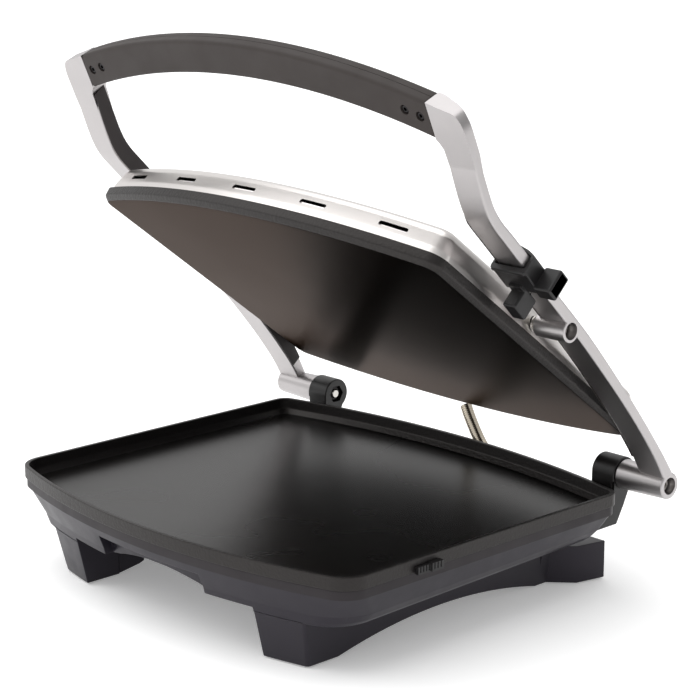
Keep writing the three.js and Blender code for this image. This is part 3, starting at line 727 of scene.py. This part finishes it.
def lugs():
    """Hinge lugs: round head, upright front, rear flank curling under, hex pocket inside."""
    centre = (HINGE_Y, HINGE_Z)
    lug_front = HINGE_Y - LUG_RADIUS
    for side, flip in SIDES:
        outline = []
        for k in range(37):
            angle = math.radians(-52) + math.radians(232) * k / 36
            y = HINGE_Y + LUG_RADIUS * math.cos(angle)
            outline.append((y, HINGE_Z + LUG_RADIUS * math.sin(angle)))
        outline += [
            (lug_front, TUB_TOP - 0.4), (108, TUB_TOP - 0.4), (108, 40), (140, 40), (147, 52),
        ]
        obj = mesh_of(f"lug_{side}", prism(outline, "x", LUG_INNER, LUG_OUTER))
        rounded(obj, 0.9, 50, 4)
        cut(
            obj, bar("x", LUG_INNER - 1, LUG_OUTER + 1, centre, 3.8),
            bar("x", LUG_INNER - 1, LUG_INNER + 5, centre, 6.9, 6.4, 6),
            block(LUG_OUTER - 1.6, LUG_OUTER + 1, lug_front - 1, lug_front + 1.4, 64, 71),
        )
        finished(obj, BASE, "base", "lug", [f"hinge_lug_{side}"], flip=flip)


def socket_screw(
    name, axis, seat, centre, head, shank, length, rise, space, body, node, flip=False, finish=None,
):
    """Screw with a domed head and a hex socket.

    The head rises outwards from its seat, the shank runs inwards.
    """
    out = 1 if rise > 0 else -1
    profile = [
        (shank * 0.8, seat - out * length), (shank, seat - out * (length - 0.8)), (shank, seat),
        (head, seat), (head, seat + rise * 0.55), (head * 0.86, seat + rise * 0.92),
        (head * 0.62, seat + rise),
    ]
    obj = mesh_of(name, spun(profile, axis, centre, 40, 0.3))
    low, high = sorted((seat + rise * 0.25, seat + rise * 1.5))
    cut(obj, bar(axis, low, high, centre, head * 0.5, None, 6))
    material = FINISH[finish] if finish else None
    return finished(obj, space, body, "fastener", [node], material=material, flip=flip)


HINGE_SEAT = 180.5


def hinge_hardware():
    centre = (HINGE_Y, HINGE_Z)
    nut_profile = [(6.2, LUG_INNER + 4.7), (6.2, LUG_INNER + 2.6), (5.2, LUG_INNER + 2.2)]
    for side, flip in SIDES:
        socket_screw(
            f"hinge_screw_{side}", "x", HINGE_SEAT, centre, 5.0, 3.4, HINGE_SEAT - LUG_INNER - 0.8,
            3.2, BASE, "base", f"hinge_bolt_{side}", flip,
        )
        nut = mesh_of(f"lug_nut_{side}", spun(nut_profile, "x", centre, 6))
        cut(nut, bar("x", LUG_INNER - 1, LUG_INNER + 6, centre, 3.7))
        rounded(nut, 0.2, 40, 2)
        finished(nut, BASE, "base", "fastener", [f"hinge_nut_{side}"], material=FINISH["oxide"], flip=flip)


CATCH_BOTTOM = 60.2


def catch():
    """Ribbed catch block on the rim's right side, where the clip's hook swings over."""
    x0 = HALF_WIDTH + GAP
    obj = mesh_of("catch_block", block(x0, 168.2, -67.9, -57, CATCH_BOTTOM, 65.2))
    join(obj, block(x0, 169.6, -57.2, -47.1, CATCH_BOTTOM, 65.8))
    for k in range(4):
        y = -66.4 + 2.5 * k
        cut(obj, block(167.5, 172, y, y + 0.9, 61.4, 70))
    for k in range(3):
        y = -55.6 + 2.7 * k
        cut(obj, block(168.9, 172, y, y + 0.8, 61.6, 70))
    simplified(obj)
    rounded(obj, 0.3, 40, 2, clamp=False)
    finished(obj, BASE, "base", "clip", ["lock_catch"])


def gland():
    profile = [(7.5, 131), (7.5, 139.9), (10, 139.9), (9.9, 141.6), (9.0, 143.5), (7, 143.5)]
    obj = mesh_of("cord_grommet", spun(profile, "y", GLAND, 48, 0.7))
    cut(obj, bar("y", 128, 150, GLAND, 3.8))
    finished(obj, BASE, "base", "rubber", ["cord_gland"])


# ---------- arms ----------
ARM_STATIONS = np.array([
    [5, -1.5, 9, 9], [20, 1.4, 7.4, 9.8], [42, 3.3, 6.6, 11.8], [70, 4.1, 6.5, 12.5], [105, 3.6, 6.9, 12.6],
    [140, 2.2, 7.5, 12.6], [195, -1.95, 7.35, 12.6], [250, -6.1, 7.2, 12.6], [256, -6.6, 7, 12.6],
    [263, -6.7, 6.9, 12.5], [270, -5.9, 6.7, 12.4], [277, -4.1, 6.6, 12.3], [291, 0.6, 6.2, 12.1],
    [306, 6.3, 5.2, 11.2],
])


def eased(table, s):
    """Cubic through the table's rows at distance s, without overshoot between them."""
    k = int(np.clip(np.searchsorted(table[:, 0], s) - 1, 0, len(table) - 2))
    x0, x1 = table[k, 0], table[k + 1, 0]
    slopes = np.gradient(table[:, 1:], table[:, 0], axis=0)
    t = (s - x0) / (x1 - x0)
    h = x1 - x0
    a = (1 + 2 * t) * (1 - t) ** 2 * table[k, 1:] + t * (1 - t) ** 2 * h * slopes[k]
    b = t * t * (3 - 2 * t) * table[k + 1, 1:] + t * t * (t - 1) * h * slopes[k + 1]
    return a + b


def arm_section(s):
    """Rounded wedge: flat under face, top falling from the inner side to the outer side."""
    under, outer, inner = eased(ARM_STATIONS, s)
    rise = inner - outer
    corners = [
        (ARM_INNER, under), (ARM_OUTER, under), (ARM_OUTER, under + outer),
        (187.0, under + outer + 0.1 * rise), (178.0, under + outer + 0.66 * rise),
        (168.6, under + inner), (ARM_INNER, under + inner - 1.0),
    ]
    return [(x, -s, n) for x, n in soften(corners, 1.5, 4, closed=True)]


def grip_edge(radius, x):
    return GRIP_RISE - GRIP_RADIUS + math.sqrt(radius * radius - x * x)


CORNER_TAIL = 24.0
CORNER_SHOULDER = (8.0, -19.6)
CORNER_CREST_X = 172.0
CORNER_ROOF = [(150, 12.7), (168.5, 12.7), (178, 10.2), (187, 6.9), (200, 6.1), (200, 30), (150, 30)]
TAIL_TAPER = 0.09


def arm_corner():
    """The arm's top corner in the handle's plane.

    It is deep beside the grip and thinner at the outer side, and its tail thins towards the arm.
    """
    low = GRIP_RADIUS - GRIP_HEIGHT
    start, turn_at = CORNER_SHOULDER
    outline = [(ARM_INNER + 0.9, CORNER_TAIL), (ARM_OUTER - 0.9, CORNER_TAIL)]
    crest = (CORNER_CREST_X, -grip_edge(GRIP_RADIUS, CORNER_CREST_X))
    turn = soften([(ARM_OUTER, start), (ARM_OUTER, turn_at), crest], 15, 12)
    outline += [tuple(p) for p in turn]
    outline += [(x, -grip_edge(GRIP_RADIUS, x)) for x in (167.5, GRIP_END)]
    outline += [(GRIP_END, -grip_edge(low, GRIP_END)), (164.9, 0.2), (ARM_INNER, 4.0)]
    obj = mesh_of("corner", prism(outline, "z", 0, 15))
    verts, faces = prism(CORNER_ROOF, "y", -40, 40)
    falling = [(x, y, z - TAIL_TAPER * (y - start)) for x, y, z in verts]
    cut(obj, (verts, faces), (falling, faces))
    simplified(obj)
    rounded(obj, 1.5, 26, 4)
    obj.data.transform(
        Matrix.Translation((0, -HANDLE_ALONG, HANDLE_OFF)) @ Matrix.Rotation(HANDLE_TURN, 4, "X")
    )
    return obj


ARM_SPAN = (5, 240, 305)


def arms():
    """Each arm runs from its hinge boss past the pivot boss to the corner beside the grip."""
    start, bend, end = ARM_SPAN
    boss = LUG_OUTER + GAP
    hinge_profile = [(8.6, boss), (10.3, boss), (9.9, 160), (8.9, ARM_OUTER), (6, ARM_OUTER)]
    pivot_profile = [(6, GRIP_END), (7.4, GRIP_END), (7.4, ARM_OUTER), (6, ARM_OUTER)]
    hinge = (0, 0)
    pivot = (-ARM_LENGTH, 0)
    for side, flip in SIDES:
        stations = np.concatenate([np.linspace(start, bend, 48), np.linspace(bend + 3, end, 30)])
        obj = mesh_of(f"swing_arm_{side}", loft([arm_section(s) for s in stations]))
        join(
            obj, spun(hinge_profile, "x", hinge, 56, 1.0), spun(pivot_profile, "x", pivot, 48, 0.8),
            arm_corner(),
        )
        cut(
            obj, bar("x", 140, 200, hinge, 3.8), bar("x", 180, 200, hinge, 5.7, 5.9),
            bar("x", 150, 200, pivot, 3.3), bar("x", 179, 200, pivot, 5.4, 5.6),
        )
        finished(obj, ARMS, "arms", "aluminium", [f"arm_{side}"], crease=38, flip=flip)


LINER_SPAN = (22, 309.5)
LINER_RISE = 0.33
LINER_RETREAT = 3.0
RETREAT_FROM = 262.0
RETREAT_RUN = 14.0


def liners():
    """Dark trim on each arm's inner side; near the grip the right one sits back from the front."""
    x0, x1 = ARM_INNER - 1.5, ARM_INNER - GAP
    for side, flip in SIDES:
        rings = []
        for s in np.linspace(*LINER_SPAN, 66):
            known = min(s, ARM_SPAN[-1])
            under, _, inner = eased(ARM_STATIONS, known)
            under += LINER_RISE * (s - known)
            near_grip = min(1.0, max(0.0, (s - RETREAT_FROM) / RETREAT_RUN))
            retreat = 0.0 if flip else LINER_RETREAT * near_grip
            low, high = under + 0.5 + retreat, under + inner - 0.7
            section = soften([(x0, low), (x1, low), (x1, high), (x0, high)], 0.45, 2, closed=True)
            rings.append([(x, -s, n) for x, n in section])
        obj = mesh_of(f"arm_trim_{side}", loft(rings))
        cut(obj, bar("x", 150, 200, (-ARM_LENGTH, 0), 7.8), bar("x", 140, 200, (0, 0), 10.9))
        finished(obj, ARMS, "arms", "liner", [f"arm_liner_{side}"], flip=flip)


SCREWS_X = (-155.5, -144.0, 144.0, 155.5)


def screw_y(x):
    return -(grip_edge(GRIP_RADIUS, x) + grip_edge(GRIP_RADIUS - GRIP_HEIGHT, x)) / 2


def grip_band(name, section, ends):
    """A bowed bar: section points of (radius, depth) swept from one end to the other."""
    rings = []
    for x, shrink in ends:
        middle = np.mean(section, axis=0)
        ring = []
        for radius, depth in section:
            r = radius + (middle[0] - radius) * shrink
            d = depth + (middle[1] - depth) * shrink
            ring.append((x, -grip_edge(r, x), d))
        rings.append(ring)
    return mesh_of(name, loft(rings))


def grips():
    low = GRIP_RADIUS - GRIP_HEIGHT
    end = GRIP_END - GAP
    span = [(x, 0.0) for x in np.linspace(-end + 1.0, end - 1.0, 90)]
    ends = [(-end, 0.08), (-end + 0.25, 0.035), *span, (end - 0.25, 0.035), (end, 0.08)]
    front = soften([(low, 6.5), (low, 0), (GRIP_RADIUS, 0), (GRIP_RADIUS, 6.5)], 2.6, 5)
    rear = [(GRIP_RADIUS, 6.8), (GRIP_RADIUS, GRIP_DEPTH), (low, GRIP_DEPTH), (low, 6.8)]
    rear = soften(rear, 3.2, 5)
    front_obj = grip_band("grip_half_front", front, ends)
    for x in SCREWS_X:
        centre = (x, screw_y(x))
        cut(front_obj, bar("z", -1, 2.4, centre, 3.3, 3.1), bar("z", 0, 10, centre, 1.9))
    finished(front_obj, HANDLE, "arms", "grip", ["grip_front"], crease=38)
    rear_obj = grip_band("grip_half_rear", rear, ends)
    for x in SCREWS_X:
        cut(rear_obj, bar("z", 0, 11, (x, screw_y(x)), 1.9))
    finished(rear_obj, HANDLE, "arms", "grip", ["grip_rear"], crease=38)
    for k, x in enumerate(SCREWS_X):
        socket_screw(
            f"grip_bolt_{k + 1}", "z", 2.3, (x, screw_y(x)), 2.8, 1.5, 8.0, -1.6, HANDLE, "arms",
            f"grip_screw_{k + 1}", finish="oxide",
        )


CLIP_OUTER = [(163.2, -4), (191.2, -4), (191.2, 9.2), (184, 12.6), (171, 16), (163.2, 16)]
CLIP_BORE = [(165.1, -0.7), (188.8, -0.7), (188.8, 8.3), (182.5, 10.9), (170, 13.4), (165.1, 13.4)]
CLIP_HALF = 10.5
HOOK_X = (170.6, 181)


def height_clip():
    """Collar around the arm, with a hollow knob on its outer side and a hook below."""
    bore = soften(CLIP_BORE, 0.5, 2, closed=True)
    collar = soften(CLIP_OUTER, 2.0, 4, closed=True)
    obj = mesh_of("clip_body", prism(collar, "y", -CLIP_HALF, CLIP_HALF))
    cut(obj, prism(bore, "y", -12, 12))
    knob = mesh_of("knob", block(189.6, CLIP_REACH, 3.4, 13.6, -5.2, 11.6))
    rounded(knob, 1.6, 30, 4)
    cut(knob, block(192.8, CLIP_REACH + 1, 5.2, 11.8, -3.3, 9.7))
    hook = mesh_of("hook", block(*HOOK_X, 8, 22.5, -17.5, -2.5))
    rounded(hook, 1.5, 30, 4)
    root = mesh_of("root", block(*HOOK_X, 4, 14, -6, -3.5))
    shoulder = mesh_of("shoulder", block(164.4, 190.4, -CLIP_HALF, -7.6, -5.0, -2.8))
    rounded(shoulder, 0.8, 30, 3)
    cut(knob, prism(CLIP_BORE, "y", -12, 20))
    join(obj, knob, hook, root, shoulder)
    cut(obj, prism(bore, "y", -12, 3.3))
    simplified(obj, 0.3)
    rounded(obj, 0.45, 40, 2, clamp=False)
    finished(obj, CLIP, "height_clip", "clip", ["height_clip"], crease=40)


# ---------- lid ----------
SLOT_X = (-122.0, -61.0, 0.0, 61.0, 122.0)
SLOT_BOW = 470.0
SLOT_HALF = 10.5
SLOT_LOW = -0.9
SLOT_HIGH = 2.3
LIP_HALF = 10.2
LIP_LOW = -0.8
LIP_HIGH = 0.4
LENS_X = (-9.0, 9.0)
LENS_Y = -92.0
LID_UNDER = -17.5
LID_PLATE_TOP = -8.2
SHELL_BOTTOM = LID_PLATE_TOP + GAP


def upper_plate():
    levels = [
        (9, LID_UNDER), (3.2, LID_UNDER), (0, LID_UNDER + 3.2), (0, LID_PLATE_TOP), (6, LID_PLATE_TOP),
        (6, LID_UNDER + 4), (12, LID_UNDER + 4),
    ]
    under = rings_of(LID_PLAN, even([(18, LID_UNDER)]), LID_CORNERS)
    rings = under + plate_rings(levels, 1.1, LID_CORNERS, LID_PLAN)
    plate = mesh_of("cooking_plate_upper", loft(rings))
    obj = finished(plate, LID, "lid", "nonstick", ["upper_plate"], material=FINISH["nonstick_under"])
    normal = (LID.to_3x3() @ Vector((0, 0, -1))).normalized()
    obj.data.materials.append(FINISH["nonstick_rim"])
    for face in obj.data.polygons:
        if face.normal.dot(normal) < 0.97:
            face.material_index = 1
    return obj


def panel(half, low, high, radius, steps):
    """A softened rectangle in the lid's front face."""
    corners = [(-half, low), (half, low), (half, high), (-half, high)]
    return soften(corners, radius, steps, closed=True)


def at_slot(x, behind=0.0):
    """Place and turn along the lid's bowed front, at a distance behind its edge."""
    front = LID_PLAN["front"] - LID_PLAN["front_bow"] - 0.7
    swing = math.asin(x / SLOT_BOW)
    place = Matrix.Translation((x, front + SLOT_BOW * (1 - math.cos(swing)) + behind, 0))
    return place @ Matrix.Rotation(swing, 4, "Z")


def lid_shell():
    outer = [
        (2, SHELL_BOTTOM), (2.2, -4), (4.6, 5.5), (6.2, 8.6), (9, 10.7), (13.5, 12), (45, 13.8),
        (90, 15),
    ]
    inner = [
        (3.1, SHELL_BOTTOM - 1), (3.3, -4), (5.7, 5.2), (7.4, 7.9), (10, 9.8), (14, 11),
        (45, 12.7), (90, 13.9),
    ]
    outer_rings = rings_of(LID_PLAN, soften(even(outer), 1.0, 4), SHELL_CORNERS)
    obj = mesh_of("steel_shell", loft(outer_rings))
    cut(obj, loft(rings_of(LID_PLAN, soften(even(inner), 1.5, 3), SHELL_CORNERS)))
    for x in SLOT_X:
        tool = mesh_of("slot", prism(panel(SLOT_HALF, SLOT_LOW, SLOT_HIGH, 1.3, 4), "y", -30, 30))
        tool.data.transform(at_slot(x, 4))
        cut(obj, tool)
    for x in LENS_X:
        cut(obj, bar("z", 5, 20, (x, LENS_Y), 3.6))
    for side in (1, -1):
        cut(obj, bar("x", *on_side(side, 140, 175), (0, 0), 4.4))
    finished(obj, LID, "lid", "steel", ["lid_shell"], crease=30)


def slot_lips():
    """Folded lower lip behind each vent slot, lighter than the dark opening above it."""
    outline = panel(LIP_HALF, LIP_LOW, LIP_HIGH, 0.25, 2)
    for k, x in enumerate(SLOT_X):
        obj = mesh_of(f"vent_lip_{k + 1}", prism(outline, "y", 5.3, 8.0))
        obj.data.transform(at_slot(x))
        finished(obj, LID, "lid", "steel")


def lenses():
    profile = [(3.3, 9), (3.3, 14.2), (2.8, 15.1), (1.6, 15.4)]
    for lamp, x in zip(("power", "ready"), LENS_X):
        obj = mesh_of(f"lamp_{lamp}", spun(profile, "z", (x, LENS_Y), 40, 0.6))
        finished(obj, LID, "lid", "lens", [f"indicator_{lamp}"])


PIVOT_SEAT = 179.4
SPACER_PROFILE = [
    (4.4, 159.4), (5.4, 159.4), (5.4, 160.6), (4.5, 160.75), (4.5, 161.2), (5.4, 161.35),
    (5.4, 162.7), (4.4, 162.7),
]


def pivot_hardware():
    for side, flip in SIDES:
        socket_screw(
            f"pivot_bolt_{side}", "x", PIVOT_SEAT, (0, 0), 4.6, 2.9, 38.4, 2.6, LID, "lid",
            f"pivot_screw_{side}", flip,
        )
        obj = mesh_of(f"spacer_ring_{side}", spun(SPACER_PROFILE, "x", (0, 0), 48, 0.18))
        cut(obj, bar("x", 150, 170, (0, 0), 3.2))
        finished(obj, LID, "lid", "fastener", [f"pivot_spacer_{side}"], flip=flip)


# ---------- conduit across the hinge ----------
CONDUIT_ROUTE = (
    (33, 145, 45), (30, 150, 47.5), (22, 153.5, 54), (8.6, 156, 65.5), (-2, 158, 78), (-9, 160, 87),
)
CONDUIT_RADIUS = 4.3
CONDUIT_PITCH = 1.6
CONDUIT_GROOVE = 0.07
CONDUIT_SIDES = 36


def route_points(controls, per_span):
    """Catmull-Rom points through the controls."""
    p = [np.array(c, float) for c in controls]
    p = [2 * p[0] - p[1]] + p + [2 * p[-1] - p[-2]]
    out = []
    for k in range(1, len(p) - 2):
        for i in range(per_span):
            t = i / per_span
            out.append(0.5 * (
                2 * p[k] + (p[k + 1] - p[k - 1]) * t
                + (2 * p[k - 1] - 5 * p[k] + 4 * p[k + 1] - p[k + 2]) * t * t
                + (3 * p[k] - p[k - 1] - 3 * p[k + 1] + p[k + 2]) * t ** 3
            ))
    out.append(p[-2])
    return np.array(out)


def conduit():
    """Interlocked strip conduit: a tube with a shallow winding ridge, closed at both ends."""
    line = route_points(CONDUIT_ROUTE, 44)
    tangents = np.gradient(line, axis=0)
    tangents /= np.linalg.norm(tangents, axis=1)[:, None]
    steps = np.r_[0, np.cumsum(np.linalg.norm(np.diff(line, axis=0), axis=1))]
    normal = np.cross(tangents[0], (0, 1, 0))
    normal /= np.linalg.norm(normal)
    rings = []
    for point, tangent, distance in zip(line, tangents, steps):
        normal = normal - tangent * np.dot(normal, tangent)
        normal /= np.linalg.norm(normal)
        other = np.cross(tangent, normal)
        ring = []
        for k in range(CONDUIT_SIDES):
            angle = 2 * math.pi * k / CONDUIT_SIDES
            wave = 0.5 + 0.5 * math.cos(2 * math.pi * distance / CONDUIT_PITCH - angle)
            radius = CONDUIT_RADIUS - CONDUIT_GROOVE * wave ** 2
            ring.append(point + radius * (math.cos(angle) * normal + math.sin(angle) * other))
        rings.append(ring)
    obj = mesh_of("lid_wire_conduit", loft(rings))
    obj.data.transform(BASE)
    obj.data.shade_smooth()
    obj.data.set_sharp_from_angle(angle=math.radians(60))
    obj.data.materials.append(FINISH["conduit"])
    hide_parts("wire_conduit")
    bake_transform(obj)


# ---------- carried-over model nodes ----------
def repaint_nodes():
    """Inner pieces keep their own shape; each takes the finish its material is named after."""
    for obj in frame["nodes"].values():
        if obj.hide_render:
            continue
        slot = material_slot_of(obj)
        for entry in obj.material_slots:
            entry.material = FINISH[slot]


def material_slot_of(obj):
    for entry in obj.material_slots:
        for slot in FINISH:
            if entry.material and entry.material.name.split(".")[0] == slot:
                return slot
    return "housing"


# ---------- camera, light and floor ----------
CAMERA_PLACE = (1.03709, -0.96744, 0.51268)
CAMERA_YAW = math.radians(46.38)
CAMERA_PITCH = math.radians(14.06)
LENS = 113.33


def camera():
    data = bpy.data.cameras.new("camera")
    data.lens = LENS
    data.sensor_width = 36
    data.clip_end = 50
    obj = bpy.data.objects.new("camera", data)
    obj.location = CAMERA_PLACE
    obj.rotation_euler = (math.pi / 2 - CAMERA_PITCH, 0, CAMERA_YAW)
    bpy.context.scene.collection.objects.link(obj)
    bpy.context.scene.camera = obj


def softbox(name, place, target, size, power, tint=(1, 1, 1)):
    data = bpy.data.lights.new(name, "AREA")
    data.shape = "RECTANGLE"
    data.size, data.size_y = size
    data.energy = power
    data.color = tint
    obj = bpy.data.objects.new(name, data)
    obj.location = place
    obj.rotation_euler = (Vector(target) - Vector(place)).to_track_quat("-Z", "Y").to_euler()
    bpy.context.scene.collection.objects.link(obj)


def sky():
    """Pale studio room: bright overhead and front left, greyer towards the rear right."""
    world = bpy.data.worlds.new("studio")
    world.use_nodes = True
    tree = world.node_tree
    place = tree.nodes.new("ShaderNodeTexCoord")
    dot = tree.nodes.new("ShaderNodeVectorMath")
    dot.operation = "DOT_PRODUCT"
    dot.inputs[1].default_value = Vector((-0.55, -0.12, 0.6)).normalized()
    spread = tree.nodes.new("ShaderNodeMapRange")
    spread.inputs["From Min"].default_value = -0.75
    spread.inputs["From Max"].default_value = 0.75
    spread.inputs["To Min"].default_value = 0.3
    spread.inputs["To Max"].default_value = 1.0
    tree.links.new(place.outputs["Generated"], dot.inputs[0])
    tree.links.new(dot.outputs["Value"], spread.inputs["Value"])
    tree.links.new(spread.outputs["Result"], tree.nodes["Background"].inputs["Strength"])
    tree.nodes["Background"].inputs["Color"].default_value = (1, 1, 1, 1)
    bpy.context.scene.world = world


def studio():
    size = 14.0
    corners = [(-size, -size, 0), (size, -size, 0), (size, size, 0), (-size, size, 0)]
    floor = mesh_of("studio_floor", (corners, [(0, 1, 2, 3)]))
    n = Nodes("studio_paper")
    n.set("Base Color", n.ramp(n.noise(3, 2), (0.95, 0.95, 0.95), (0.965, 0.965, 0.965)))
    n.set("Roughness", 0.9)
    n.set("Specular IOR Level", 0.1)
    n.set("Emission Color", (1, 1, 1, 1))
    n.set("Emission Strength", 0.25)
    floor.data.materials.append(n.material)
    sky()
    bpy.context.scene.view_settings.view_transform = "Standard"
    data = bpy.data.lights.new("overhead", "SUN")
    data.energy = 1.15
    data.angle = math.radians(70)
    overhead = bpy.data.objects.new("overhead", data)
    overhead.rotation_euler = Vector((-0.2, -0.05, 1)).to_track_quat("Z", "Y").to_euler()
    bpy.context.scene.collection.objects.link(overhead)
    middle = (0, 0, 0.2)
    softbox("front_box", (-1.6, -1.5, 1.7), middle, (1.3, 1.1), 8)


camera()
studio()
lower_plate()
lower_bezel()
housing()
feet()
lugs()
hinge_hardware()
catch()
gland()
arms()
liners()
grips()
height_clip()
upper_plate()
lid_shell()
slot_lips()
lenses()
pivot_hardware()
conduit()
repaint_nodes()
